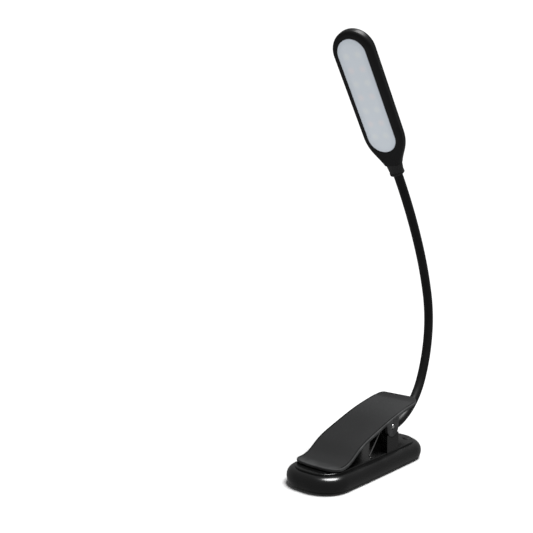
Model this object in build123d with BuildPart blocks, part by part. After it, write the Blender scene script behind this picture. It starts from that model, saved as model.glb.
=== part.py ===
from build123d import *
from math import cos, radians, sin
import os

# Clip-on reading lamp, in millimetres.
# +X runs to the rear, where the clip is pressed; -X is the jaw end; Y is across; +Z is up.
# The origin is the centre of the underside, on the table.

# base, a flat pebble with a rounded rectangular plan
base_length = 107.0
base_width = 41.4
side_bow = 0.5                # the long sides stand out this far at mid-length
base_corner = 17.5
foot_height = 0.15            # the cover stands this far above the table, on its pad
widest_height = 5.0
shoulder_height = 10.0
deck_height = 11.0
tuck = 2.4                    # how far the underside is drawn in
shoulder = 4.7                # how far the top is drawn in
deck_inset = 4.9
parting_height = 1.8
parting_gap = 0.3             # the shadow line between the shell and the cover
parting_step = 1.6            # how deep the line runs in
roof_height = 9.2             # inside of the deck
wall_inset = 2.8              # inside of the side walls, from the widest outline

# clip lever and its hinge
pin_x = 15.0
pin_z = 26.0
pin_radius = 1.25
pin_length = 32.5
pin_gap = 0.06
lever_width = 32.0
lever_thickness = 1.8
lever_front = -43.3
lever_rear = 46.2
rim_line_y = 14.7             # a fine groove runs along each long edge of the lever here
rim_line_width = 0.5
rim_line_depth = 0.4
lip_top = 13.2
ear_radius = 6.2
ear_thickness = 1.8
ear_gap = 0.3
post_width = 12.4
post_outer = 14.0
post_inner = 11.3
post_flush_top = 21.5

# jaw pads
pad_length = 11.0
pad_width = 25.0
pad_centre_x = -35.6

# double torsion spring
wire_radius = 0.5
coil_radius = 2.35
coil_outer_y = 10.5
coil_inner_y = 3.5
coil_turns = 6
leg_start_angle = 137        # where the base leg leaves the coil, in the X-Z plane
leg_end_angle = 104          # where the lever leg leaves the coil
base_leg_length = 23.6
lever_leg_length = 12.6

# neck: each segment is a list of (length, turn in degrees) runs, all in the X-Z plane
neck_start = (24.2, 16.1)
neck_heading = 7.1
neck_radius = 3.0
neck_bore = 1.85
core_radius = 0.95
lead_radius = 0.4
lead_offset = 1.4
ball_radius = 2.95
cup_radius = 3.15
core_reach = 1.8              # how far a core runs on into the next segment
neck_runs = [
    [(13.9, 0), (15.9, 19.3)],
    [(30, 37.3)],
    [(30, 19.3)],
    [(30, 21.7)],
    [(30, 9.0)],
    [(30, 5.9)],
    [(30, 5.0), (6.4, 0)],
]
ferrule_radius = 3.8
ferrule_length = 12.0
boss_radius = 5.0
lead_bend = 1.8               # room behind the neck's root, where the leads turn down
lead_drop = 0.9
lead_hole = 2.2

# head, drawn flat: y runs up from the collar's lower end, z towards the lit face
head_length = 97.0
head_half_width = 13.8
head_half_thickness = 3.9
head_split = -0.8
collar_length = 7.4
diffuser_width = 19.7
diffuser_length = 75.3
diffuser_top_margin = 4.2
led_rows = 7
led_row_pitch = 8.9
led_column_pitch = 7.9
led_top_margin = 10.4
board_top = -0.6

# electronics in the base
board_height = 3.2
board_thickness = 1.0
button_x = 42.9
button_y = 8.9
button_radius = 3.0
socket_width = 8.9
socket_thickness = 3.2
screw_seat = 1.1
pad_inset = 9.0
screw_places = [(-46.0, 8.0), (-46.0, -8.0), (30.0, 14.6), (30.0, -14.6)]

os.makedirs("parts", exist_ok=True)


def save(builder, name):
    builder.part.label = name
    export_step(builder.part, f"parts/{name}.step")


def plan(inset):
    """The base's plan drawn in by inset: bowed long sides, straight ends and rounded corners."""
    along = base_length / 2 - inset
    middle = base_width / 2 - inset
    end = middle - side_bow
    with BuildSketch() as sketch:
        with BuildLine():
            ThreePointArc((-along, end), (0, middle), (along, end))
            Line((along, end), (along, -end))
            ThreePointArc((along, -end), (0, -middle), (-along, -end))
            Line((-along, -end), (-along, end))
        make_face()
        fillet(vertices(), radius=base_corner - inset)
    return sketch.sketch


def outline_slab(inset, low, high):
    """A slab with the base's plan, drawn in by inset."""
    with BuildPart() as slab:
        with BuildSketch(Plane.XY.offset(low)):
            add(plan(inset))
        extrude(amount=high - low)
    return slab.part


def pebble():
    """The base's outer form: the plan lofted up two quarter ellipses that meet at the widest height."""
    steps = 4
    with BuildPart() as stone:
        for step in range(-steps, steps + 1):
            angle = radians(90 * step / steps)
            rise = shoulder_height - widest_height if step > 0 else widest_height - foot_height
            reach = shoulder if step > 0 else tuck
            inset = reach * (1 - cos(angle))
            with BuildSketch(Plane.XY.offset(widest_height + rise * sin(angle))):
                add(plan(inset))
        loft()
    return stone.part


def next_station(station, length, turn):
    """The end of a straight or circular run, as (x, z, heading in degrees)."""
    x, z, heading = station
    if turn == 0:
        return (x + length * cos(radians(heading)), z + length * sin(radians(heading)), heading)
    radius = length / radians(turn)
    ahead = heading + turn
    x += radius * (sin(radians(ahead)) - sin(radians(heading)))
    z -= radius * (cos(radians(ahead)) - cos(radians(heading)))
    return (x, z, ahead)


def across(station):
    """The plane square to the neck at a station, with local x along Y."""
    x, z, heading = station
    direction = (cos(radians(heading)), 0, sin(radians(heading)))
    return Plane(origin=(x, 0, z), x_dir=(0, 1, 0), z_dir=direction)


def tube(station, runs, radius, offset=0):
    """A round rod along runs that start at a station, its axis offset across the neck by offset."""
    with BuildPart() as rod:
        for length, turn in runs:
            plane = across(station)
            with BuildSketch(plane) as disc:
                with Locations((offset, 0)):
                    Circle(radius)
            if turn == 0:
                extrude(disc.sketch, amount=length, dir=plane.z_dir)
            else:
                reach = length / radians(turn)
                centre = plane.from_local_coords((0, reach, 0))
                revolve(disc.sketch, axis=Axis(centre, (0, -1, 0)), revolution_arc=turn)
            station = next_station(station, length, turn)
    return rod.part


def rod_between(start, end, radius):
    """A straight round rod with domed ends."""
    first = Vector(*start)
    along = Vector(*end) - first
    with BuildPart() as rod:
        with BuildSketch(Plane(origin=first, z_dir=along)):
            Circle(radius)
        extrude(amount=along.length)
        with Locations(first, first + along):
            Sphere(radius)
    return rod.part


stations = []
station = (neck_start[0], neck_start[1], neck_heading)
for runs in neck_runs:
    stations.append(station)
    for length, turn in runs:
        station = next_station(station, length, turn)
joint_stations = stations[1:]
collar_end = next_station(stations[-1], *neck_runs[-1][0])

tilt = radians(collar_end[2] - 90)
face_normal = (-cos(tilt), 0, -sin(tilt))
head_plane = Plane(origin=(collar_end[0], 0, collar_end[1]), x_dir=(0, -1, 0), z_dir=face_normal)


root_axis = across(stations[0])


def root_boss():
    """The moulded root of the neck: a sloping half-round block that stands on the deck."""
    with BuildPart() as boss:
        with BuildSketch(root_axis.offset(-lead_drop - lead_hole - 1)):
            Circle(boss_radius)
            with Locations((0, -boss_radius)):
                Rectangle(2 * boss_radius, 2 * boss_radius)
        extrude(amount=ferrule_length + lead_drop + lead_hole + 1.8)
        split(bisect_by=Plane.XY.offset(deck_height - 0.5), keep=Keep.TOP)
        rear_rim = boss.faces().sort_by(Axis.X)[-1].edges().sort_by(Axis.Z)[1:]
        fillet(rear_rim, radius=1.0)
    return boss.part


# ---------------------------------------------------------------- base

with BuildPart() as base_upper_shell:
    add(pebble())
    split(bisect_by=Plane.XY.offset(parting_height), keep=Keep.TOP)
    add(outline_slab(deck_inset, shoulder_height - 0.6, deck_height))
    deck_rim = base_upper_shell.faces().sort_by(Axis.Z)[-1].edges()
    fillet(deck_rim, radius=0.4)
    # hinge posts: a wide foot flush with the lever's ears, and inner cheeks that hold the pin
    with BuildSketch(Plane.XZ.offset(lever_width / 2)):
        with Locations((pin_x, (shoulder_height + post_flush_top) / 2)):
            Rectangle(post_width, post_flush_top - shoulder_height)
        with Locations((pin_x, pin_z)):
            Circle(ear_radius + ear_gap, mode=Mode.SUBTRACT)
    extrude(amount=-(lever_width / 2 - post_inner))
    with BuildSketch(Plane.XZ.offset(post_outer)):
        with Locations((pin_x, (shoulder_height + post_flush_top) / 2)):
            Rectangle(post_width, post_flush_top - shoulder_height)
        with BuildLine():
            Polyline(
                (pin_x - post_width / 2, post_flush_top),
                (pin_x + post_width / 2, post_flush_top),
                (pin_x + 2.5, pin_z + 1.0),
                (pin_x - 2.5, pin_z + 1.0),
                close=True,
            )
        make_face()
        with Locations((pin_x, pin_z)):
            Circle(2.7)
    extrude(amount=-(post_outer - post_inner))
    mirror(about=Plane.XZ)
    # root boss of the neck, standing on the deck behind the posts
    add(root_boss())
    with BuildSketch(root_axis.offset(-lead_bend)):
        Circle(ferrule_radius)
    extrude(amount=ferrule_length + 2 * lead_bend, mode=Mode.SUBTRACT)
    # cavity, jaw pad recess and holes
    add(outline_slab(wall_inset, parting_height - 1, roof_height), mode=Mode.SUBTRACT)
    with BuildSketch(Plane.XY.offset(deck_height - 0.9)):
        with Locations((pad_centre_x, 0)):
            RectangleRounded(pad_length, pad_width, 2.0)
    extrude(amount=2, mode=Mode.SUBTRACT)
    with Locations((pin_x, 0, pin_z)):
        Cylinder(pin_radius, 40, rotation=(90, 0, 0), mode=Mode.SUBTRACT)
    with Locations((button_x, button_y, deck_height), (button_x, -button_y, deck_height)):
        Cylinder(button_radius + 0.12, 8, mode=Mode.SUBTRACT)
    with Locations((neck_start[0] - lead_drop, 0, (roof_height + neck_start[1]) / 2)):
        Cylinder(lead_hole, neck_start[1] - roof_height + 2, mode=Mode.SUBTRACT)
    with Locations((base_length / 2, 0, 5.8)):
        Box(12, socket_width + 0.3, socket_thickness + 0.3, mode=Mode.SUBTRACT)
    with Locations((base_length / 2 - 3, 8.5, 5.8)):
        Cylinder(0.95, 12, rotation=(0, 90, 0), mode=Mode.SUBTRACT)
    # screw pillars
    with Locations(*[(x, y, (parting_height + roof_height) / 2 + 0.6) for x, y in screw_places]):
        Cylinder(2.3, roof_height - parting_height - 1.0)
    with Locations(*[(x, y, 4.5) for x, y in screw_places]):
        Cylinder(0.8, 7.0, mode=Mode.SUBTRACT)


def leg_points(angle, length, side, y, sense):
    """Start and end of a spring leg that leaves the coil at an angle, along the tangent."""
    a = radians(angle)
    start = (pin_x + coil_radius * cos(a), side * y, pin_z + coil_radius * sin(a))
    along = (-sense * sin(a), sense * cos(a))
    return start, (start[0] + along[0] * length, side * y, start[2] + along[1] * length)


slot_start, slot_end = leg_points(leg_start_angle, base_leg_length + 1, 1, coil_outer_y, 1)
mirrored_start = (slot_start[0], -slot_start[1], slot_start[2])
mirrored_end = (slot_end[0], -slot_end[1], slot_end[2])
with BuildPart(mode=Mode.PRIVATE) as leg_slots:
    add(rod_between(slot_start, slot_end, wire_radius + 0.15))
    add(rod_between(mirrored_start, mirrored_end, wire_radius + 0.15))
base_upper_shell.part = base_upper_shell.part - leg_slots.part
save(base_upper_shell, "base_upper_shell")

with BuildPart() as base_bottom_cover:
    add(pebble())
    split(bisect_by=Plane.XY.offset(parting_height - parting_gap), keep=Keep.BOTTOM)
    add(outline_slab(parting_step, parting_height - 1, parting_height))
    add(outline_slab(wall_inset + 0.15, parting_height - 0.2, 3.0))
    add(outline_slab(wall_inset + 1.3, parting_height, 4), mode=Mode.SUBTRACT)
    add(outline_slab(pad_inset, 0, foot_height + 0.6), mode=Mode.SUBTRACT)
    with Locations(*[(x, y, 1.0) for x, y in screw_places]):
        Cylinder(2.4, 1.8, align=(Align.CENTER, Align.CENTER, Align.MIN))
    with Locations(*[(x, y, screw_seat) for x, y in screw_places]):
        Cylinder(2.0, 2, align=(Align.CENTER, Align.CENTER, Align.MAX), mode=Mode.SUBTRACT)
        Cylinder(1.05, 4, mode=Mode.SUBTRACT)
save(base_bottom_cover, "base_bottom_cover")

with BuildPart() as foot_pad:
    add(outline_slab(pad_inset, 0, foot_height + 0.6))
save(foot_pad, "foot_pad")

with BuildPart() as cover_screws:
    with Locations(*[(x, y, screw_seat) for x, y in screw_places]):
        Cylinder(1.85, 0.6, align=(Align.CENTER, Align.CENTER, Align.MAX))
        Cylinder(0.78, 6.0, align=(Align.CENTER, Align.CENTER, Align.MIN))
save(cover_screws, "cover_screws")

with BuildPart() as lower_jaw_pad:
    with BuildSketch(Plane.XY.offset(deck_height - 0.9)):
        with Locations((pad_centre_x, 0)):
            RectangleRounded(pad_length, pad_width, 2.0)
    extrude(amount=0.95)
save(lower_jaw_pad, "lower_jaw_pad")

with BuildPart() as battery_cell:
    with BuildSketch(Plane.XY.offset(2.1)):
        with Locations((-18.0, 0)):
            RectangleRounded(46, 27, 2)
    extrude(amount=5.8)
    fillet(battery_cell.edges().group_by(Axis.Z)[-1], radius=1.0)
save(battery_cell, "battery_cell")

with BuildPart() as battery_foam_pad:
    with Locations((-18.0, 0, 8.55)):
        Box(38, 22, 1.3)
save(battery_foam_pad, "battery_foam_pad")

board_top_z = board_height + board_thickness
with BuildPart() as control_board:
    with BuildSketch(Plane.XY.offset(board_height)):
        with Locations((30.0, 0)):
            RectangleRounded(36, 24, 6)
    extrude(amount=board_thickness)
save(control_board, "control_board")

with BuildPart() as board_chips:
    with Locations((20.0, -5.0, board_top_z + 0.6)):
        Box(5, 5, 1.2)
    with Locations((20.0, 5.0, board_top_z + 0.4)):
        Box(3, 4, 0.8)
    with Locations((30.0, -5.0, board_top_z + 0.75)):
        Box(4, 4, 1.5)
save(board_chips, "board_chips")

with BuildPart() as button_switches:
    with Locations((button_x, button_y, board_top_z + 1.0), (button_x, -button_y, board_top_z + 1.0)):
        Box(4.4, 4.4, 2.0)
    with Locations((button_x, button_y, board_top_z + 2.2), (button_x, -button_y, board_top_z + 2.2)):
        Cylinder(1.0, 0.5)
save(button_switches, "button_switches")

with BuildPart() as charge_socket:
    with Locations((48.8, 0, board_top_z + socket_thickness / 2)):
        Box(7.8, socket_width, socket_thickness)
    fillet(charge_socket.edges().filter_by(Axis.X), radius=1.4)
    mouth = charge_socket.faces().sort_by(Axis.X)[-1]
    offset(amount=-0.3, openings=mouth)
    with Locations((47.9, 0, board_top_z + socket_thickness / 2)):
        Box(5.6, 6.6, 0.7)
save(charge_socket, "charge_socket")

with BuildPart() as indicator_light_pipe:
    with Locations((50.1, 8.5, 5.8)):
        Cylinder(0.85, 3.8, rotation=(0, 90, 0))
save(indicator_light_pipe, "indicator_light_pipe")

with BuildPart() as battery_leads:
    for y in (-2.0, 2.0):
        add(rod_between((4.2, y, 8.4), (10.0, y, 7.6), 0.5))
        add(rod_between((10.0, y, 7.6), (13.6, y, board_top_z + 0.55), 0.5))
save(battery_leads, "battery_leads")

for name, y in (("brightness_button", button_y), ("colour_button", -button_y)):
    with BuildPart() as button:
        with Locations((button_x, y, 8.1)):
            Cylinder(button_radius - 0.02, 3.25, align=(Align.CENTER, Align.CENTER, Align.MIN))
        fillet(button.edges().sort_by(Axis.Z)[-1], radius=0.5)
        with Locations((button_x, y, 8.1)):
            Cylinder(button_radius + 0.5, 1.0, align=(Align.CENTER, Align.CENTER, Align.MIN))
        with Locations((button_x, y, 7.1)):
            Cylinder(1.2, 1.2, align=(Align.CENTER, Align.CENTER, Align.MIN))
    save(button, name)

# ---------------------------------------------------------------- clip

arch_points = [(-26.5, 15.7), (-20.9, 19.1), (-4.3, 25.5), (16.5, 31.4), (34.0, 34.9), (40.6, 35.9), (lever_rear, 38.4)]
lip_bend_start = (-36.5, lip_top)


def lowered(point):
    return (point[0], point[1] - lever_thickness)


with BuildPart() as clip_lever:
    with BuildSketch(Plane.XZ):
        with BuildLine():
            Line((lever_front, lip_top), lip_bend_start)
            top_line = Spline(lip_bend_start, *arch_points, tangents=[(1, 0), (1, 0.6)])
            Line(arch_points[-1], lowered(arch_points[-1]))
            lower_start = lowered(lip_bend_start)
            Spline(lower_start, *[lowered(point) for point in arch_points], tangents=[(1, 0), (1, 0.6)])
            Line(lower_start, lowered((lever_front, lip_top)))
            Line(lowered((lever_front, lip_top)), (lever_front, lip_top))
        make_face()
    extrude(amount=lever_width / 2, both=True)
    with BuildSketch(Plane.XY.offset(5)):
        with BuildLine():
            bow_end = lever_front + 2.4
            half = lever_width / 2
            ThreePointArc((bow_end, -half), (lever_front, 0), (bow_end, half))
            Polyline((bow_end, half), (lever_rear, half), (lever_rear, -half), (bow_end, -half))
        make_face()
        fillet(vertices(), radius=6.0)
    extrude(amount=40, mode=Mode.INTERSECT)
    rims = clip_lever.faces().sort_by(SortBy.AREA)[-2:]
    fillet(rims.edges(), radius=0.55)
    with BuildSketch(Plane.XZ.offset(lever_width / 2)):
        with Locations((pin_x, pin_z)):
            Circle(ear_radius)
        with Locations((pin_x, pin_z + ear_radius)):
            Rectangle(2 * ear_radius, 2 * ear_radius, mode=Mode.SUBTRACT)
        with BuildLine():
            Polyline(
                (pin_x - ear_radius, pin_z),
                (pin_x + ear_radius, pin_z),
                (pin_x + 7.0, pin_z + 5.8),
                (pin_x - 7.0, pin_z + 2.2),
                close=True,
            )
        make_face()
    extrude(amount=-ear_thickness)
    with Locations((pin_x, -lever_width / 2, pin_z)):
        Cylinder(1.8, 0.5, rotation=(90, 0, 0), mode=Mode.SUBTRACT)
    mirror(about=Plane.XZ)
    with Locations((pin_x, 0, pin_z)):
        Cylinder(pin_radius + pin_gap, 40, rotation=(90, 0, 0), mode=Mode.SUBTRACT)
    with BuildSketch(Plane.XY.offset(lip_top - lever_thickness - 1)):
        with Locations((pad_centre_x, 0)):
            RectangleRounded(pad_length, pad_width, 2.0)
    extrude(amount=1.8, mode=Mode.SUBTRACT)
    # a fine line just inside each long edge
    line_floor = [(x, z - rim_line_depth) for x, z in [lip_bend_start] + arch_points[:-1]]
    for edge in (rim_line_y + rim_line_width / 2, -rim_line_y + rim_line_width / 2):
        with BuildSketch(Plane.XZ.offset(edge)):
            with BuildLine():
                Spline(*line_floor, tangents=[(1, 0), (1, 0.27)])
                Polyline(line_floor[-1], (line_floor[-1][0], 45), (line_floor[0][0], 45), line_floor[0])
            make_face()
        extrude(amount=-rim_line_width, mode=Mode.SUBTRACT)
save(clip_lever, "clip_lever")

with BuildPart() as upper_jaw_pad:
    with BuildSketch(Plane.XY.offset(lip_top - lever_thickness - 0.1)):
        with Locations((pad_centre_x, 0)):
            RectangleRounded(pad_length, pad_width, 2.0)
    extrude(amount=0.9)
save(upper_jaw_pad, "upper_jaw_pad")

with BuildPart() as hinge_pin:
    with Locations((pin_x, 0, pin_z)):
        Cylinder(pin_radius, pin_length, rotation=(90, 0, 0))
    fillet(hinge_pin.edges().filter_by(GeomType.CIRCLE), radius=0.35)
save(hinge_pin, "hinge_pin")

coil_height = coil_outer_y - coil_inner_y
coil_pitch = coil_height / (coil_turns + (leg_start_angle - leg_end_angle) / 360)
first_direction = (cos(radians(leg_start_angle)), 0, sin(radians(leg_start_angle)))
coil_plane = Plane(origin=(pin_x, -coil_outer_y, pin_z), x_dir=first_direction, z_dir=(0, 1, 0))
coil_line = coil_plane * Helix(pitch=coil_pitch, height=coil_height, radius=coil_radius)
with BuildPart() as torsion_spring:
    with BuildSketch(Plane(origin=coil_line @ 0, z_dir=coil_line % 0)):
        Circle(wire_radius)
    sweep(path=coil_line)
    leg_start, leg_end = leg_points(leg_start_angle, base_leg_length, -1, coil_outer_y, 1)
    add(rod_between(leg_start, leg_end, wire_radius))
    leg_start, leg_end = leg_points(leg_end_angle, lever_leg_length, -1, coil_inner_y, -1)
    add(rod_between(leg_start, leg_end, wire_radius))
    mirror(about=Plane.XZ)
    add(rod_between(leg_end, (leg_end[0], -leg_end[1], leg_end[2]), wire_radius))
save(torsion_spring, "torsion_spring")

# ---------------------------------------------------------------- neck

with BuildPart() as neck_root_ferrule:
    with BuildSketch(root_axis.offset(1)):
        Circle(ferrule_radius)
        Circle(neck_radius + 0.03, mode=Mode.SUBTRACT)
    extrude(amount=ferrule_length + 0.8)
save(neck_root_ferrule, "neck_root_ferrule")

last = len(neck_runs) - 1
for index, runs in enumerate(neck_runs):
    start = stations[index]
    end = start
    for length, turn in runs:
        end = next_station(end, length, turn)
    start_point = (start[0], 0, start[1])
    end_point = (end[0], 0, end[1])

    with BuildPart() as neck_sleeve:
        add(tube(start, runs, neck_radius))
        if index < last:
            with Locations(end_point):
                Sphere(ball_radius)
        if index > 0:
            with Locations(start_point):
                Sphere(cup_radius, mode=Mode.SUBTRACT)
        bore_runs = runs if index == last else runs + [(ball_radius + 1, 0)]
        add(tube(start, bore_runs, neck_bore), mode=Mode.SUBTRACT)
    save(neck_sleeve, f"neck_sleeve_{index}")

    core_runs = runs if index == last else runs + [(core_reach, 0)]
    with BuildPart() as neck_core:
        add(tube(start, core_runs, core_radius))
        if index < last:
            tip = next_station(end, core_reach, 0)
            with Locations((tip[0], 0, tip[1])):
                Sphere(core_radius)
        if index > 0:
            with Locations(start_point):
                Sphere(ball_radius + 0.05, mode=Mode.SUBTRACT)
    save(neck_core, f"neck_core_{index}")

    with BuildPart() as neck_leads:
        for side in (-1, 1):
            add(tube(start, runs, lead_radius, offset=side * lead_offset))
        if index > 0:
            with Locations(start_point):
                Sphere(cup_radius, mode=Mode.SUBTRACT)
        if index < last:
            with Locations(end_point):
                Sphere(core_radius + 1, mode=Mode.SUBTRACT)
        if index == 0:
            bend_x = start[0] - lead_drop
            for side in (-1, 1):
                y = side * lead_offset
                add(rod_between((start[0] + 0.2, y, start[1]), (bend_x, y, start[1]), lead_radius))
                add(rod_between((bend_x, y, start[1]), (bend_x, y, 5.0), lead_radius))
        if index == last:
            for side in (-1, 1):
                top = next_station(end, 11, 0)
                y = side * lead_offset
                add(rod_between((end[0], y, end[1]), (top[0], y, top[1]), lead_radius))
    save(neck_leads, f"neck_leads_{index}")

# ---------------------------------------------------------------- head

diffuser_centre = head_length - diffuser_top_margin - diffuser_length / 2


def stadium(width, length, low, high):
    """An upright slab in the head's plane, round at both ends, centred on the diffuser."""
    with BuildPart() as slab:
        with BuildSketch(head_plane.offset(low)):
            with Locations((0, diffuser_centre)):
                SlotOverall(length, width, rotation=90)
        extrude(amount=high - low)
    return slab.part


def head_form():
    """The head's outer form: a paddle with a round top that narrows to the collar."""
    side = head_half_width
    with BuildPart() as form:
        with BuildSketch(head_plane.offset(-head_half_thickness)):
            with BuildLine():
                shoulder_y = head_length - side
                ThreePointArc((side, shoulder_y), (0, head_length), (-side, shoulder_y))
                Line((side, shoulder_y), (side, 29))
                Line((-side, shoulder_y), (-side, 29))
                flare = [(12.0, 19.2), (8.6, 12.8), (5.8, collar_length)]
                Spline((side, 29), *flare, tangents=[(0, -1), (-0.42, -1)])
                mirrored = [(-x, y) for x, y in flare]
                Spline((-side, 29), *mirrored, tangents=[(0, -1), (0.42, -1)])
                Line(flare[-1], mirrored[-1])
            make_face()
        extrude(amount=2 * head_half_thickness)
        rim = form.edges().filter_by(lambda edge: (edge @ 0.5).Z > head_plane.from_local_coords((0, collar_length + 0.8, 0)).Z)
        back = rim.group_by(Axis(head_plane.origin, head_plane.z_dir))[0]
        front = rim.group_by(Axis(head_plane.origin, head_plane.z_dir))[-1]
        fillet(back, radius=3.4)
        fillet(front, radius=2.6)
    return form.part


wire_way = Plane(origin=head_plane.origin, x_dir=(0, 1, 0), z_dir=head_plane.y_dir)

with BuildPart() as head_rear_shell:
    add(head_form())
    split(bisect_by=head_plane.offset(head_split), keep=Keep.BOTTOM)
    add(stadium(22.5, diffuser_length + 4, -2.9, 0), mode=Mode.SUBTRACT)
    with BuildSketch(wire_way.offset(collar_length - 1)):
        Circle(1.9)
    extrude(amount=14, mode=Mode.SUBTRACT)
save(head_rear_shell, "head_rear_shell")

with BuildPart() as head_front_frame:
    add(head_form())
    split(bisect_by=head_plane.offset(head_split), keep=Keep.TOP)
    add(stadium(22.5, diffuser_length + 4, -1, 2.3), mode=Mode.SUBTRACT)
    add(stadium(diffuser_width, diffuser_length, 2, 5), mode=Mode.SUBTRACT)
    with BuildSketch(wire_way.offset(collar_length - 1)):
        Circle(1.9)
    extrude(amount=14, mode=Mode.SUBTRACT)
save(head_front_frame, "head_front_frame")

with BuildPart() as diffuser:
    add(stadium(diffuser_width - 0.1, diffuser_length - 0.1, 2.2, head_half_thickness))
    fillet(diffuser.faces().sort_by(Axis(head_plane.origin, head_plane.z_dir))[-1].edges(), radius=0.3)
    add(stadium(21.8, diffuser_length + 2.4, 1.3, 2.25))
save(diffuser, "diffuser")

with BuildPart() as led_board:
    add(stadium(21.6, diffuser_length + 2.2, board_top - 1.0, board_top))
save(led_board, "led_board")

led_x = [-led_column_pitch / 2, led_column_pitch / 2]
first_row = head_length - diffuser_top_margin - led_top_margin
for name, rows in (("white_leds", range(0, led_rows, 2)), ("amber_leds", range(1, led_rows, 2))):
    spots = [(x, first_row - row * led_row_pitch) for row in rows for x in led_x]
    with BuildPart() as leds:
        with BuildSketch(head_plane.offset(board_top)):
            with Locations(*spots):
                Rectangle(3.5, 2.8)
        extrude(amount=0.9)
    save(leds, name)

with BuildPart() as reflector_sheet:
    add(stadium(21.0, diffuser_length + 1.6, board_top, board_top + 0.3))
    with BuildSketch(head_plane.offset(board_top)):
        with Locations(*[(x, first_row - row * led_row_pitch) for row in range(led_rows) for x in led_x]):
            Rectangle(3.9, 3.2)
        with Locations((0, diffuser_centre - diffuser_length / 2 + 1)):
            Rectangle(5, 6)
    extrude(amount=1, mode=Mode.SUBTRACT)
save(reflector_sheet, "reflector_sheet")

with BuildPart() as head_collar:
    with BuildSketch(wire_way):
        Circle(4.35)
    with BuildSketch(wire_way.offset(collar_length)):
        Ellipse(5.8, head_half_thickness)
    loft()
    with BuildSketch(wire_way):
        Circle(4.75)
    extrude(amount=1.1)
    with BuildSketch(wire_way):
        Circle(neck_radius + 0.03)
    extrude(amount=neck_runs[-1][-1][0], mode=Mode.SUBTRACT)
    with BuildSketch(wire_way):
        Circle(1.9)
    extrude(amount=12, mode=Mode.SUBTRACT)
save(head_collar, "head_collar")
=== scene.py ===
import math

import bpy
import numpy as np
from mathutils import Matrix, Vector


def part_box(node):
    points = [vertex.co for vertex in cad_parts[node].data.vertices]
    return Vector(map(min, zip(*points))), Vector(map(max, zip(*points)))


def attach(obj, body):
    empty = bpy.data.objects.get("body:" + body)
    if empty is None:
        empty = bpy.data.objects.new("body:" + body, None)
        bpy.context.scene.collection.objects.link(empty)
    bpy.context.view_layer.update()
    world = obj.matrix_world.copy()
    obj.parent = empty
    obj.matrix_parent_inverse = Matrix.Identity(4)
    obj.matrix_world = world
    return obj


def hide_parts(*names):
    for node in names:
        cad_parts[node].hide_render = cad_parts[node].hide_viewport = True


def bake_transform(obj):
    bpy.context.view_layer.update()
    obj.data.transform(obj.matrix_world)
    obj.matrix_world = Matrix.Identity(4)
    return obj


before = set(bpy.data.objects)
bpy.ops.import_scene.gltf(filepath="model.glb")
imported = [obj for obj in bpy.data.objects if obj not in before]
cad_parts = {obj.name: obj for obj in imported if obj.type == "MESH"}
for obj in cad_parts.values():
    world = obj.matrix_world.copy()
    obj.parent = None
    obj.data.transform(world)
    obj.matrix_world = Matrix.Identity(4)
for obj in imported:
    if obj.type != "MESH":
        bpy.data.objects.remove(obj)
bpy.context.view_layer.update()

# ---------------------------------------------------------------- camera

camera_data = bpy.data.cameras.new("camera")
camera_data.lens = 49.5
camera_data.sensor_width = 36.0
camera = bpy.data.objects.new("camera", camera_data)
bpy.context.scene.collection.objects.link(camera)
camera.location = (-0.3623, -0.2569, 0.1562)
camera.rotation_euler = (math.pi / 2 - math.radians(4.13), 0, math.radians(-47.46))
bpy.context.scene.camera = camera

# ---------------------------------------------------------------- sizes, in metres

pin_place = np.array([0.015, 0.0, 0.026])
wire_radius = 0.0005
coil_radius = 0.00235
coil_outer_y = 0.0105
coil_inner_y = 0.0035
coil_turns = 6
base_leg_angle = 137.0
lever_leg_angle = 104.0
base_leg_length = 0.0236
lever_leg_length = 0.0126

neck_start = (0.0242, 0.0161, 7.1)
neck_radius = 0.003
neck_runs = [
    [(0.0139, 0.0), (0.0159, 19.3)],
    [(0.030, 37.3)],
    [(0.030, 19.3)],
    [(0.030, 21.7)],
    [(0.030, 9.0)],
    [(0.030, 5.9)],
    [(0.030, 5.0), (0.0062, 0.0)],
]
sleeve_start = 0.001            # the sleeve's open end lies this far up from the neck's root
sleeve_sides = 64

head_length = 0.097
diffuser_size = (0.0197, 0.0753)
diffuser_top_margin = 0.0042
first_row_depth = 0.0104
row_pitch = 0.0089
column_pitch = 0.0079
last_row = 6                    # the rows of lamps count from 0
ripple_pitch = 0.0011
track_pitch = 0.0016

pad_centre_x = -0.0356
pad_size = (0.011, 0.025)
pad_corner = 0.002
pad_rib_pitch = 0.00157
pad_rib_height = 0.00022
thread_pitch = 0.0006
screw_places = [(-0.046, 0.008), (-0.046, -0.008), (0.030, 0.0146), (0.030, -0.0146)]

# ---------------------------------------------------------------- shader tools


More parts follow.
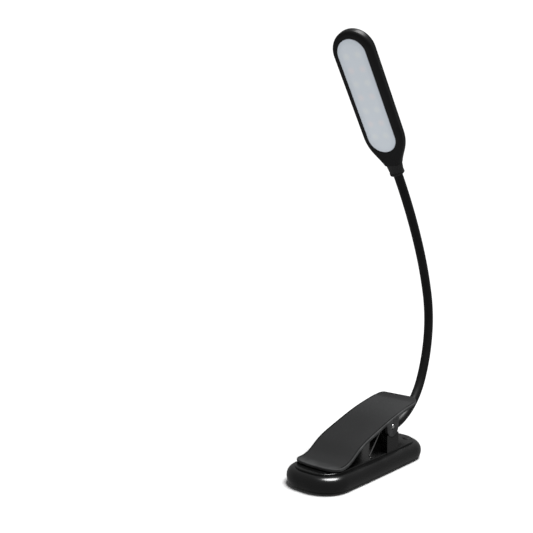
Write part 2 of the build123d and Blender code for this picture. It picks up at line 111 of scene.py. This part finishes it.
class Number:
    """A number in a shader: an output socket on which plain arithmetic adds Math nodes."""

    def __init__(self, finish, socket):
        self.finish = finish
        self.socket = socket

    def worked(self, operation, *values):
        """The result of one Math node on these values, in their order."""
        node = self.finish.node("ShaderNodeMath", {"operation": operation}, dict(enumerate(values)))
        return Number(self.finish, node.outputs[0])

    def __add__(self, other):
        return self.worked("ADD", self, other)

    __radd__ = __add__

    def __sub__(self, other):
        return self.worked("SUBTRACT", self, other)

    def __rsub__(self, other):
        return self.worked("SUBTRACT", other, self)

    def __mul__(self, other):
        return self.worked("MULTIPLY", self, other)

    __rmul__ = __mul__

    def __truediv__(self, other):
        return self.worked("DIVIDE", self, other)

    def __abs__(self):
        return self.worked("ABSOLUTE", self)

    def at_least(self, other):
        return self.worked("MAXIMUM", self, other)

    def at_most(self, other):
        return self.worked("MINIMUM", self, other)

    def sine(self):
        return self.worked("SINE", self)

    def root(self):
        return self.worked("SQRT", self)

    def rounded(self):
        return self.worked("ROUND", self)

    def step(self, low, high):
        """0 below low, 1 above high and a smooth S between them."""
        settings = {"interpolation_type": "SMOOTHSTEP"}
        node = self.finish.node("ShaderNodeMapRange", settings, {0: self, 1: low, 2: high, 3: 0.0, 4: 1.0})
        return Number(self.finish, node.outputs[0])


class Finish:
    """A material under construction, with one Principled shader."""

    def __init__(self, name, roughness=0.5, metallic=0.0, specular=0.5):
        self.material = bpy.data.materials.new(name)
        self.material.use_nodes = True
        self.tree = self.material.node_tree
        self.shader = self.tree.nodes["Principled BSDF"]
        self.feed("Roughness", roughness)
        self.feed("Metallic", metallic)
        self.feed("Specular IOR Level", specular)
        self.place = self.node("ShaderNodeTexCoord").outputs["Object"]

    def node(self, kind, settings=None, inputs=None):
        """A node of one kind: its settings first, then the values or links of its sockets."""
        node = self.tree.nodes.new(kind)
        for key, value in (settings or {}).items():
            setattr(node, key, value)
        for key, value in (inputs or {}).items():
            self.join(node.inputs[key], value)
        return node

    def join(self, socket, value):
        if isinstance(value, Number):
            self.tree.links.new(value.socket, socket)
        elif isinstance(value, bpy.types.NodeSocket):
            self.tree.links.new(value, socket)
        else:
            socket.default_value = value

    def feed(self, name, value):
        self.join(self.shader.inputs[name], value)

    def placed(self, location=(0, 0, 0), rotation=(0, 0, 0), scale=(1, 1, 1), kind="POINT", of=None):
        """The object's coordinates, or of, through a Mapping node."""
        inputs = {"Vector": of or self.place, "Location": location, "Rotation": rotation, "Scale": scale}
        return self.node("ShaderNodeMapping", {"vector_type": kind}, inputs).outputs[0]

    def parts(self, vector=None):
        """The x, y and z of a vector as three numbers."""
        node = self.node("ShaderNodeSeparateXYZ", {}, {0: vector or self.place})
        return [Number(self, output) for output in node.outputs]

    def noise(self, size, detail=3.0, vector=None, roughness=0.5, distortion=0.0):
        """Soft noise, from 0 to 1, whose blotches are about size metres across."""
        inputs = {"Vector": vector or self.place, "Scale": 1 / size, "Detail": detail}
        inputs.update({"Roughness": roughness, "Distortion": distortion})
        return Number(self, self.node("ShaderNodeTexNoise", {}, inputs).outputs[0])

    def cells(self, size):
        """Distance to the nearest of many scattered points about size metres apart, in that size."""
        inputs = {"Vector": self.place, "Scale": 1 / size}
        return Number(self, self.node("ShaderNodeTexVoronoi", {}, inputs).outputs[0])

    def blend(self, factor, first, second):
        """The colour first where factor is 0 and second where it is 1."""
        inputs = {0: factor, 6: first, 7: second}
        return self.node("ShaderNodeMix", {"data_type": "RGBA"}, inputs).outputs[2]

    def colour(self, value):
        self.feed("Base Color", value)

    def relief(self, height, depth):
        """Bump from a height between 0 and 1 that stands for depth metres."""
        inputs = {"Height": height, "Distance": depth}
        self.feed("Normal", self.node("ShaderNodeBump", {}, inputs).outputs[0])


def grey(value, warm=0.0):
    """A near-neutral colour, a little warm above 0 and a little blue below."""
    return (value * (1 + warm), value, value * (1 - warm), 1.0)


def fine_scratches(finish, turn, size):
    """Thin faint straight marks along one direction: noise stretched 30 times, kept only at its peaks."""
    along = finish.placed(rotation=turn, scale=(1, 30, 30))
    return finish.noise(size, 2.0, along).step(0.66, 0.76)


def moulded_plastic(name, tone, roughness, grain, depth, specular=0.5, warm=-0.03, sheen_spread=0.08):
    """Moulded plastic: fine spark-eroded grain, faint handling smudges, hairline marks and a little dust."""
    finish = Finish(name, specular=specular)
    smudge = finish.noise(0.014, 4.0, distortion=0.6).step(0.35, 0.72)
    marks = fine_scratches(finish, (0.3, 0.2, 0.7), 0.009)
    marks = marks.at_least(fine_scratches(finish, (0.1, 0.5, -0.5), 0.012))
    speck = 1 - finish.cells(0.0016).step(0.05, 0.11)
    dust = speck * finish.noise(0.02, 2.0).step(0.5, 0.75)
    pits = finish.noise(grain, 2.0, roughness=0.7)
    paler = dust * 0.25 + marks * 0.12 + smudge * 0.1
    finish.colour(finish.blend(paler, grey(tone, warm), grey(tone * 2.6, warm)))
    finish.feed("Roughness", roughness + (smudge - 0.5) * sheen_spread + marks * 0.06 + dust * 0.1)
    finish.relief(pits, depth)
    return finish


# ---------------------------------------------------------------- finishes

base_black = moulded_plastic("base_black", 0.002, 0.24, 0.0004, 0.000003, specular=0.55, sheen_spread=0.05)
cover_black = moulded_plastic("cover_black", 0.004, 0.42, 0.0003, 0.00001, specular=0.35)
head_black = moulded_plastic("head_black", 0.0105, 0.37, 0.0004, 0.000008, specular=0.1)
collar_black = moulded_plastic("collar_black", 0.012, 0.45, 0.0004, 0.00001, specular=0.4)
ferrule_black = moulded_plastic("ferrule_black", 0.004, 0.42, 0.0004, 0.00001, specular=0.2)
button_black = moulded_plastic("button_black", 0.008, 0.5, 0.0004, 0.00001, specular=0.3)


def charcoal():
    """The lever's finish: a dull charcoal grain, paler on its rims, its lip and its rear top, partly as wear
    and partly as painted highlight and painted light falling from the rear.
    """
    finish = Finish("lever_charcoal", specular=0.16)
    x, y = finish.parts()[:2]
    # painted light: rims, lip and rear top are made paler, partly wear and partly painted highlight and light
    # from the rear
    rim = abs(y).step(0.0149, 0.0162)
    lip = 1 - x.step(-0.0435, -0.0335)
    thumb_wear_and_painted_light = x.step(0.002, 0.034) * (1 - x.step(0.0385, 0.0425))
    patches = finish.noise(0.006, 5.0, roughness=0.65)
    polish_and_painted_light = (rim + lip * 1.2) * (patches.step(0.38, 0.66) * 0.6 + 0.4)
    wear_and_painted_light = (polish_and_painted_light + thumb_wear_and_painted_light * (patches * 0.2 + 0.2)).at_most(1.0)
    marks = fine_scratches(finish, (0.0, 0.4, 0.15), 0.01)
    marks = marks.at_least(fine_scratches(finish, (0.2, 0.1, 1.2), 0.014))
    speck = (1 - finish.cells(0.0013).step(0.05, 0.12)) * finish.noise(0.017, 2.0).step(0.45, 0.7)
    # the paler rims, lip and rear top mixed in here are partly wear and partly painted light
    paler = wear_and_painted_light * 0.6 + marks * 0.25 + speck * 0.3
    finish.colour(finish.blend(paler, grey(0.0125, -0.02), grey(0.058, -0.02)))
    smudge = finish.noise(0.018, 3.0, distortion=0.8).step(0.35, 0.7)
    finish.feed("Roughness", 0.6 - wear_and_painted_light * 0.14 + smudge * 0.07)
    grain = finish.noise(0.00042, 2.0, roughness=0.7) + (1 - finish.cells(0.0006).step(0.1, 0.7)) * 0.5
    finish.relief(grain, 0.00004)
    return finish


def sleeve():
    """The neck's soft covering: satin, with faint lines left across it by the die and rubbed patches."""
    finish = Finish("neck_black", specular=0.3)
    along = finish.node("ShaderNodeUVMap", {"uv_map": "surface"}).outputs[0]
    rings = finish.noise(1.0, 3.0, finish.placed(scale=(1.5, 5200, 1), of=along))
    runs = finish.noise(1.0, 3.0, finish.placed(scale=(26, 60, 1), of=along))
    rubbed = finish.noise(0.011, 4.0).step(0.42, 0.7)
    lint = (1 - finish.cells(0.0012).step(0.05, 0.13)) * finish.noise(0.014, 2.0).step(0.5, 0.75)
    paler = rubbed * 0.22 + lint * 0.4 + runs * 0.1
    finish.colour(finish.blend(paler, grey(0.003, -0.02), grey(0.009, -0.02)))
    finish.feed("Roughness", 0.4 + rubbed * 0.08 + runs * 0.05 + lint * 0.1)
    finish.relief(rings * 0.7 + finish.noise(0.0004, 2.0) * 0.3, 0.000016)
    return finish


def milk(plane):
    """The diffuser: milky plate over two columns of lamps, which show as soft pale spots. They are paler than
    their surroundings in the first row and every other one, and pinker in the rows between. The rim is darker,
    as light leaks away there, and faint rings run round the lower end."""
    finish = Finish("diffuser_milk", specular=0.45)
    local = finish.placed(plane.translation, plane.to_euler(), kind="TEXTURE")
    x, y = finish.parts(local)[:2]
    width, length = diffuser_size
    centre = head_length - diffuser_top_margin - length / 2
    straight = (length - width) / 2
    past_end = (abs(y - centre) - straight).at_least(0.0)
    from_rim = width / 2 - (x * x + past_end * past_end).root()
    first_row = head_length - diffuser_top_margin - first_row_depth
    row = (first_row - y) / row_pitch
    nearest = row.rounded().at_least(0.0).at_most(last_row)
    up = (row - nearest) * row_pitch
    side = abs(x) - column_pitch / 2
    away = (up * up + side * side).root()
    spot = 1 - away.step(0.0004, 0.0033)
    odd_one = abs(nearest / 2 - (nearest / 2).rounded()) * 2
    cloud = finish.noise(0.012, 3.0)
    shade = cloud * 0.3 + (1 - from_rim.step(0.0, 0.0042)) * 0.6
    body = finish.blend(shade, (0.69, 0.745, 0.80, 1), (0.56, 0.61, 0.675, 1))
    cool = finish.blend(spot * 0.42 * (1 - odd_one), body, (0.79, 0.82, 0.81, 1))
    warm = finish.blend(spot * 0.42 * odd_one, cool, (0.83, 0.76, 0.78, 1))
    edge = 1 - from_rim.step(0.00005, 0.00055)
    finish.colour(finish.blend(edge * 0.75, warm, (0.12, 0.13, 0.145, 1)))
    ring_centre = centre - straight
    gone = ((y - ring_centre) * (y - ring_centre) + x * x).root()
    faded = (1 - gone.step(0.003, 0.013)) * (1 - y.step(0.022, 0.034))
    ripple = (gone * (2 * math.pi / ripple_pitch)).sine() * faded
    haze = finish.noise(0.02, 3.0).step(0.35, 0.7)
    finish.feed("Roughness", 0.34 + haze * 0.08)
    finish.relief(ripple * 0.5 + 0.5 + finish.noise(0.0005, 2.0) * 0.25, 0.00001)
    return finish


def metal(name, tone, roughness, turn, size, warm=0.0):
    """Drawn or turned metal: long tool marks, tarnish in blotches."""
    finish = Finish(name, roughness=roughness, metallic=1.0)
    lines = finish.noise(size, 3.0, finish.placed(rotation=turn, scale=(1, 22, 22)))
    tarnish = finish.noise(0.0021, 4.0).step(0.45, 0.75)
    finish.colour(finish.blend(tarnish * 0.5, grey(tone, warm), grey(tone * 0.55, warm + 0.03)))
    finish.feed("Roughness", roughness + (lines - 0.5) * 0.14 + tarnish * 0.12)
    finish.relief(lines, 0.000006)
    return finish


def rubber(name, tone, pitch):
    """Dull rubber with a fine cross-ribbed grain and chalky bloom."""
    finish = Finish(name, specular=0.3)
    x, y = finish.parts()[:2]
    ribs = ((x + y) * (2 * math.pi / pitch)).sine() * ((x - y) * (2 * math.pi / pitch)).sine()
    bloom = finish.noise(0.006, 4.0).step(0.4, 0.7)
    finish.colour(finish.blend(bloom * 0.35, grey(tone), grey(tone * 2.4, 0.02)))
    finish.feed("Roughness", 0.74 + bloom * 0.12)
    finish.relief(ribs * 0.4 + 0.5 + finish.noise(0.0004, 2.0) * 0.3, 0.00006)
    return finish


def board(name, colour, dark, roughness):
    """A printed board: lacquer over faint straight tracks, with small tinned dots."""
    finish = Finish(name, roughness=roughness)
    x = finish.parts()[0]
    tracks = (x * (2 * math.pi / track_pitch)).sine().step(0.55, 0.8)
    grid = tracks * finish.noise(0.004, 1.0).step(0.45, 0.55)
    dots = 1 - finish.cells(0.0026).step(0.1, 0.16)
    tinted = finish.blend(grid * 0.5, colour, dark)
    finish.colour(finish.blend(dots * 0.7, tinted, grey(0.5, 0.05)))
    finish.feed("Roughness", roughness + finish.noise(0.003, 3.0) * 0.15)
    finish.relief(grid.at_least(dots), 0.00003)
    return finish


def mottled(name, colour, other, roughness, size, depth, specular=0.5, metallic=0.0):
    """A small part's finish: two near tones in soft blotches, with a fine grain."""
    finish = Finish(name, specular=specular, metallic=metallic)
    blotch = finish.noise(size, 4.0).step(0.35, 0.68)
    finish.colour(finish.blend(blotch, colour, other))
    finish.feed("Roughness", roughness + blotch * 0.12)
    finish.relief(finish.noise(size / 8, 3.0), depth)
    return finish


# ---------------------------------------------------------------- the neck's line and the head's plane


def next_station(station, length, turn):
    """The end of a straight or circular run: (x, z, heading in degrees)."""
    x, z, heading = station
    if turn == 0:
        a = math.radians(heading)
        return (x + length * math.cos(a), z + length * math.sin(a), heading)
    radius = length / math.radians(turn)
    a, b = math.radians(heading), math.radians(heading + turn)
    across, up = math.sin(b) - math.sin(a), math.cos(a) - math.cos(b)
    return (x + radius * across, z + radius * up, heading + turn)


def along_run(station, length, turn, travelled):
    """Points and unit directions at distances along one run: x and z are the integrals of the heading."""
    x, z, heading = station
    a = math.radians(heading)
    b = a + math.radians(turn) * travelled / length
    if turn == 0:
        px, pz = x + travelled * math.cos(a), z + travelled * math.sin(a)
    else:
        radius = length / math.radians(turn)
        px, pz = x + radius * (np.sin(b) - math.sin(a)), z - radius * (np.cos(b) - math.cos(a))
    level = np.zeros_like(travelled)
    return np.stack([px, level, pz], axis=-1), np.stack([np.cos(b), level, np.sin(b)], axis=-1)


joint_stations = []
neck_points, neck_headings, neck_travel, joint_travel = [], [], [], []
station, travelled = neck_start, 0.0
for runs in neck_runs:
    joint_stations.append(station)
    joint_travel.append(travelled)
    for length, turn in runs:
        steps = np.linspace(0, length, max(2, round(length / 0.0005) + 1))[:-1]
        points, headings = along_run(station, length, turn, steps)
        neck_points.append(points)
        neck_headings.append(headings)
        neck_travel.append(travelled + steps)
        station = next_station(station, length, turn)
        travelled += length
neck_points = np.concatenate(neck_points)
neck_headings = np.concatenate(neck_headings)
neck_travel = np.concatenate(neck_travel)

collar_end = next_station(joint_stations[-1], *neck_runs[-1][0])
tilt = math.radians(collar_end[2] - 90)
head_side = (0.0, -1.0, 0.0)
head_up = (-math.sin(tilt), 0.0, math.cos(tilt))
head_normal = (-math.cos(tilt), 0.0, -math.sin(tilt))
head_plane = Matrix((head_side, head_up, head_normal)).transposed().to_4x4()
head_plane.translation = (collar_end[0], 0.0, collar_end[1])

# ---------------------------------------------------------------- mesh tools


def rings_mesh(name, finish, body, rings, smooth_angle=35.0, travel=None):
    """A closed piece from rings of points: quads between each ring and the next, and a fan to the middle of
    the first and the last ring. Rings run so that the faces point outwards. travel gives each ring's place
    along the piece, and with the turn round the ring it makes the UV map."""
    count, around = rings.shape[:2]
    vertices = np.concatenate([rings.reshape(-1, 3), rings[:1].mean(axis=1), rings[-1:].mean(axis=1)])
    i, j = np.meshgrid(np.arange(count - 1), np.arange(around), indexing="ij")
    k = (j + 1) % around
    this, following = i * around, (i + 1) * around
    quads = np.stack([this + j, this + k, following + k, following + j], axis=-1).reshape(-1, 4)
    j = np.arange(around)
    k = (j + 1) % around
    first = np.stack([np.full(around, count * around), k, j], axis=-1)
    top = (count - 1) * around
    last = np.stack([np.full(around, count * around + 1), top + j, top + k], axis=-1)
    mesh = bpy.data.meshes.new(name)
    mesh.from_pydata(vertices.tolist(), [], quads.tolist() + first.tolist() + last.tolist())
    mesh.shade_smooth()
    mesh.set_sharp_from_angle(angle=math.radians(smooth_angle))
    if travel is not None:
        corner = np.empty(len(mesh.loops), dtype=np.int64)
        mesh.loops.foreach_get("vertex_index", corner)
        turn = np.append(np.tile(np.arange(around) / around, count), [0.5, 0.5])
        length = np.append(np.repeat(travel, around), [travel[0], travel[-1]])
        uv = np.stack([turn[corner], length[corner]], axis=-1)
        wraps = quads.shape[0] * 4
        seam = uv[:wraps].reshape(-1, 4, 2)
        seam[..., 0] += (seam[..., 0] < 0.25) * (seam[..., 0].max(axis=1) > 0.75)[:, None]
        layer = mesh.uv_layers.new(name="surface")
        layer.data.foreach_set("uv", uv.astype(np.float32).ravel())
    piece = bpy.data.objects.new(name, mesh)
    bpy.context.scene.collection.objects.link(piece)
    mesh.materials.append(finish.material)
    if body:
        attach(piece, body)
    return piece


def tube_rings(points, headings, radius, around, reference):
    """Circles square to a line: one axis of each is the heading crossed with a fixed reference direction."""
    one = np.cross(headings, reference)
    one /= np.linalg.norm(one, axis=1, keepdims=True)
    two = np.cross(headings, one)
    angle = np.linspace(0, 2 * np.pi, around, endpoint=False)
    radius = np.broadcast_to(radius, (len(points),))
    circle = np.cos(angle)[None, :, None] * one[:, None] + np.sin(angle)[None, :, None] * two[:, None]
    return points[:, None] + circle * radius[:, None, None]


def headings_of(points):
    """Unit directions along a line of points, from the differences between their neighbours."""
    along = np.gradient(points, axis=0)
    return along / np.linalg.norm(along, axis=1, keepdims=True)


# ---------------------------------------------------------------- neck sleeve, one piece across each joint

sleeve_finish = sleeve()
total = neck_travel[-1]
segment_middles = [(a + b) / 2 for a, b in zip(joint_travel[:-1], joint_travel[1:])]
cuts = [sleeve_start] + segment_middles[1:] + [total]
for index in range(1, len(neck_runs)):
    low, high = cuts[index - 1], cuts[index]
    inside = (neck_travel > low) & (neck_travel < high)
    place = np.concatenate([[low], neck_travel[inside], [high]])
    points = np.stack([np.interp(place, neck_travel, neck_points[:, axis]) for axis in range(3)], axis=-1)
    headings = np.stack([np.interp(place, neck_travel, neck_headings[:, axis]) for axis in range(3)], axis=-1)
    headings /= np.linalg.norm(headings, axis=1, keepdims=True)
    rings = tube_rings(points, headings, neck_radius, sleeve_sides, (0.0, 1.0, 0.0))
    piece = rings_mesh(f"sleeve_{index}", sleeve_finish, None, rings, travel=place)
    x, z, heading = joint_stations[index]
    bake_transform(piece)
    nodes = [f"neck_sleeve_{index}"] + (["neck_sleeve_0"] if index == 1 else [])
    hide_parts(*nodes)

# ---------------------------------------------------------------- hinge spring, one piece for each half


def spring_line(side):
    """One half of the spring: the base leg, the coil as a helix round the pin, the lever leg, and a
    quarter-round corner into half of the bridge. The legs leave the coil along its tangents."""
    first, last = math.radians(base_leg_angle), math.radians(lever_leg_angle)
    turns = 2 * math.pi * coil_turns + first - last
    share = np.linspace(0, 1, 420)
    angle = first - turns * share
    inwards = coil_outer_y + (coil_inner_y - coil_outer_y) * share
    coil = np.stack([coil_radius * np.cos(angle), inwards, coil_radius * np.sin(angle)], axis=-1)
    down = np.array([-math.sin(first), 0, math.cos(first)])
    out = np.array([math.sin(last), 0, -math.cos(last)])
    base_leg = coil[0] + down * np.linspace(base_leg_length, 0, 30)[:-1, None]
    corner = 0.0011
    lever_leg = coil[-1] + out * np.linspace(0, lever_leg_length - corner, 20)[1:, None]
    swing = np.linspace(0, math.pi / 2, 12)[1:, None]
    inward = np.array([0.0, -1.0, 0.0])
    bend = lever_leg[-1] + corner * (out * np.sin(swing) + inward * (1 - np.cos(swing)))
    bridge = bend[-1] + inward * np.linspace(0, bend[-1][1], 8)[1:, None]
    line = np.concatenate([base_leg, coil, lever_leg, bend, bridge])
    return pin_place + line * np.array([1, side, 1])


spring_steel = metal("spring_steel", 0.42, 0.3, (0, 0, 1.57), 0.001)
for side, name in ((-1, "spring_near"), (1, "spring_far")):
    line = spring_line(side)
    rings = tube_rings(line, headings_of(line), wire_radius, 14, (-0.5, 0.6 * side, 0.62))
    travel = np.append(0, np.cumsum(np.linalg.norm(np.diff(line, axis=0), axis=1)))
    piece = rings_mesh(name, spring_steel, None, rings, travel=travel)
    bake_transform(piece)
    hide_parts("torsion_spring")

# ---------------------------------------------------------------- ribbed jaw pads


def rounded_outline(width, depth, corner, around):
    """Points round a rectangle with rounded corners: a superellipse of high order, flat along the sides."""
    angle = np.linspace(0, 2 * np.pi, around, endpoint=False)
    order = 2 / (2 * min(width, depth) / corner)
    x = np.sign(np.cos(angle)) * np.abs(np.cos(angle)) ** order * width / 2
    y = np.sign(np.sin(angle)) * np.abs(np.sin(angle)) ** order * depth / 2
    return x, y


def jaw_pad(name, node, body, facing):
    """A pad with ribs across the jaw: concentric outlines from the middle of the gripping face out to its
    rim, down the side and back to the middle of the glued face. The face's height is a rounded wave along X."""
    low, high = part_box(node)
    x, y = rounded_outline(pad_size[0], pad_size[1], pad_corner, 220)
    gripping, glued = np.linspace(0.01, 0.97, 60), np.linspace(0.9, 0.05, 6)
    across = np.concatenate([gripping, [0.99, 1.0, 1.0, 1.0, 0.99], glued])
    drop = np.concatenate([np.zeros(60), [0.04, 0.15, 0.6, 0.96, 1.0], np.ones(6)])
    px = pad_centre_x + across[:, None] * x
    py = across[:, None] * y
    wave = 0.5 - 0.5 * np.cos(2 * np.pi * (px - pad_centre_x) / pad_rib_pitch)
    rim = np.clip((0.97 - across) / 0.06, 0, 1)[:, None]
    ribs = pad_rib_height * wave ** 1.6 * rim
    thick = high[2] - low[2]
    if facing > 0:
        pz = high[2] - drop[:, None] * thick - ribs
    else:
        pz = low[2] + drop[:, None] * thick + ribs
    rings = np.stack([px, py, pz], axis=-1)[:, ::-facing]
    piece = rings_mesh(name, jaw_rubber, body, rings, smooth_angle=50)
    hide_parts(node)


jaw_rubber = rubber("jaw_rubber", 0.012, 0.0009)
jaw_pad("jaw_pad_low", "lower_jaw_pad", "base", 1)
jaw_pad("jaw_pad_high", "upper_jaw_pad", "lever", -1)

# ---------------------------------------------------------------- cover screws


def screw_rings(x, y, low, high):
    """A screw with its head down: a profile of radius and height turned round the axis. The head's face is
    pushed in where the point lies in either arm of a cross, and the shank's radius follows a fine thread."""
    face = np.concatenate([np.linspace(0.00008, 0.0012, 16), np.linspace(0.0013, 0.00172, 5)])
    shank = np.linspace(low + 0.0007, high - 0.0007, 60)
    thread = 0.00072 + 0.00006 * np.sin(2 * np.pi * shank / thread_pitch)
    rim, tip = [0.00182, 0.00185, 0.00185, 0.0018, 0.0009], [0.0005, 0.00025, 0.00006]
    radius = np.concatenate([face, rim, thread, tip])
    height = np.concatenate([
        low + 0.00005 * (face / 0.00172) ** 2,
        [low + 0.0001, low + 0.0002, low + 0.0005, low + 0.0006, low + 0.0006],
        shank,
        [high - 0.00035, high - 0.00015, high],
    ])
    angle = np.linspace(0, 2 * np.pi, 96, endpoint=False)
    px = radius[:, None] * np.cos(angle)
    py = radius[:, None] * np.sin(angle)
    arm = np.minimum(np.abs(px), np.abs(py))
    reach = np.clip((0.00125 - radius[:, None]) / 0.0002, 0, 1)
    cross = np.clip((0.0003 - arm) / 0.00012, 0, 1) * reach * (np.arange(len(radius)) < len(face))[:, None]
    return np.stack([x + px, y + py, height[:, None] + 0.00042 * cross], axis=-1)


screw_steel = metal("screw_steel", 0.5, 0.34, (0, 1.57, 0), 0.0008)
low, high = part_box("cover_screws")
for index, (x, y) in enumerate(screw_places, 1):
    rings = screw_rings(x, y, low[2], high[2])
    piece = rings_mesh(f"cover_screw_{index}", screw_steel, "base", rings, smooth_angle=30)
    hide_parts("cover_screws")

# ---------------------------------------------------------------- finishes of the solid nodes

finishes = {
    "base_black": base_black,
    "cover_black": cover_black,
    "pad_rubber": rubber("pad_rubber", 0.014, 0.0016),
    "cell_foil": mottled("cell_foil", grey(0.45, 0.0), grey(0.36, 0.01), 0.35, 0.006, 0.00008, metallic=0.8),
    "foam_pad": mottled("foam_pad", grey(0.03), grey(0.05), 0.9, 0.002, 0.0003, specular=0.1),
    "board_green": board("board_green", (0.012, 0.07, 0.03, 1), (0.006, 0.035, 0.016, 1), 0.35),
    "chip_black": mottled("chip_black", grey(0.012), grey(0.02), 0.5, 0.001, 0.00002),
    "switch_body": mottled("switch_body", grey(0.05), grey(0.08), 0.45, 0.0015, 0.00002),
    "socket_steel": metal("socket_steel", 0.55, 0.3, (0, 0, 0.2), 0.001),
    "clear_pipe": mottled("clear_pipe", grey(0.55, -0.02), grey(0.47, -0.02), 0.2, 0.002, 0.00001),
    "lead_wire": mottled("lead_wire", (0.25, 0.012, 0.01, 1), (0.18, 0.01, 0.009, 1), 0.45, 0.003, 0.00001),
    "button_black": button_black,
    "lever_charcoal": charcoal(),
    "pin_chrome": metal("pin_chrome", 0.8, 0.16, (0, 0, 1.57), 0.0009),
    "ferrule_black": ferrule_black,
    "core_steel": metal("core_steel", 0.4, 0.4, (0, 0.9, 0), 0.001),
    "head_black": head_black,
    "collar_black": collar_black,
    "diffuser_milk": milk(head_plane),
    "board_white": board("board_white", grey(0.62, -0.01), grey(0.5, -0.01), 0.4),
    "led_cool": mottled("led_cool", (0.75, 0.72, 0.35, 1), (0.68, 0.64, 0.28, 1), 0.3, 0.001, 0.00001),
    "led_warm": mottled("led_warm", (0.8, 0.45, 0.12, 1), (0.72, 0.38, 0.09, 1), 0.3, 0.001, 0.00001),
    "reflector_white": mottled("reflector_white", grey(0.75), grey(0.7), 0.45, 0.008, 0.00002),
    "spring_steel": spring_steel,
    "screw_steel": screw_steel,
    "jaw_rubber": jaw_rubber,
    "neck_black": sleeve_finish,
}
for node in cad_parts.values():
    for material_slot in node.material_slots:
        material_slot.material = finishes[material_slot.material.name.split(".")[0]].material

# ---------------------------------------------------------------- floor and light

floor_mesh = bpy.data.meshes.new("floor")
side = 0.5
corners = [(-side, -side, 0), (side, -side, 0), (side, side, 0), (-side, side, 0)]
floor_mesh.from_pydata(corners, [], [(0, 1, 2, 3)])
floor = bpy.data.objects.new("floor", floor_mesh)
bpy.context.scene.collection.objects.link(floor)
floor.visible_glossy = False
floor_finish = Finish("floor", roughness=0.7, specular=0.1)
floor_finish.feed("Base Color", grey(0.54))
floor_mesh.materials.append(floor_finish.material)

sun_data = bpy.data.lights.new("overhead", "SUN")
sun_data.energy = 6.6
sun_data.angle = math.radians(30)
sun = bpy.data.objects.new("overhead", sun_data)
bpy.context.scene.collection.objects.link(sun)
sun.rotation_euler = (math.radians(10), math.radians(8), 0)

world = bpy.data.worlds.new("studio")
bpy.context.scene.world = world
world.use_nodes = True
tree = world.node_tree
surroundings = tree.nodes["Background"]
surroundings.inputs[0].default_value = (1, 1, 1, 1)
surroundings.inputs[1].default_value = 0.22
backdrop = tree.nodes.new("ShaderNodeBackground")
backdrop.inputs[0].default_value = (1, 1, 1, 1)
backdrop.inputs[1].default_value = 1.1
seen = tree.nodes.new("ShaderNodeLightPath")
either = tree.nodes.new("ShaderNodeMixShader")
tree.links.new(seen.outputs["Is Camera Ray"], either.inputs[0])
tree.links.new(surroundings.outputs[0], either.inputs[1])
tree.links.new(backdrop.outputs[0], either.inputs[2])
tree.links.new(either.outputs[0], tree.nodes["World Output"].inputs[0])
bpy.context.scene.view_settings.view_transform = "Standard"
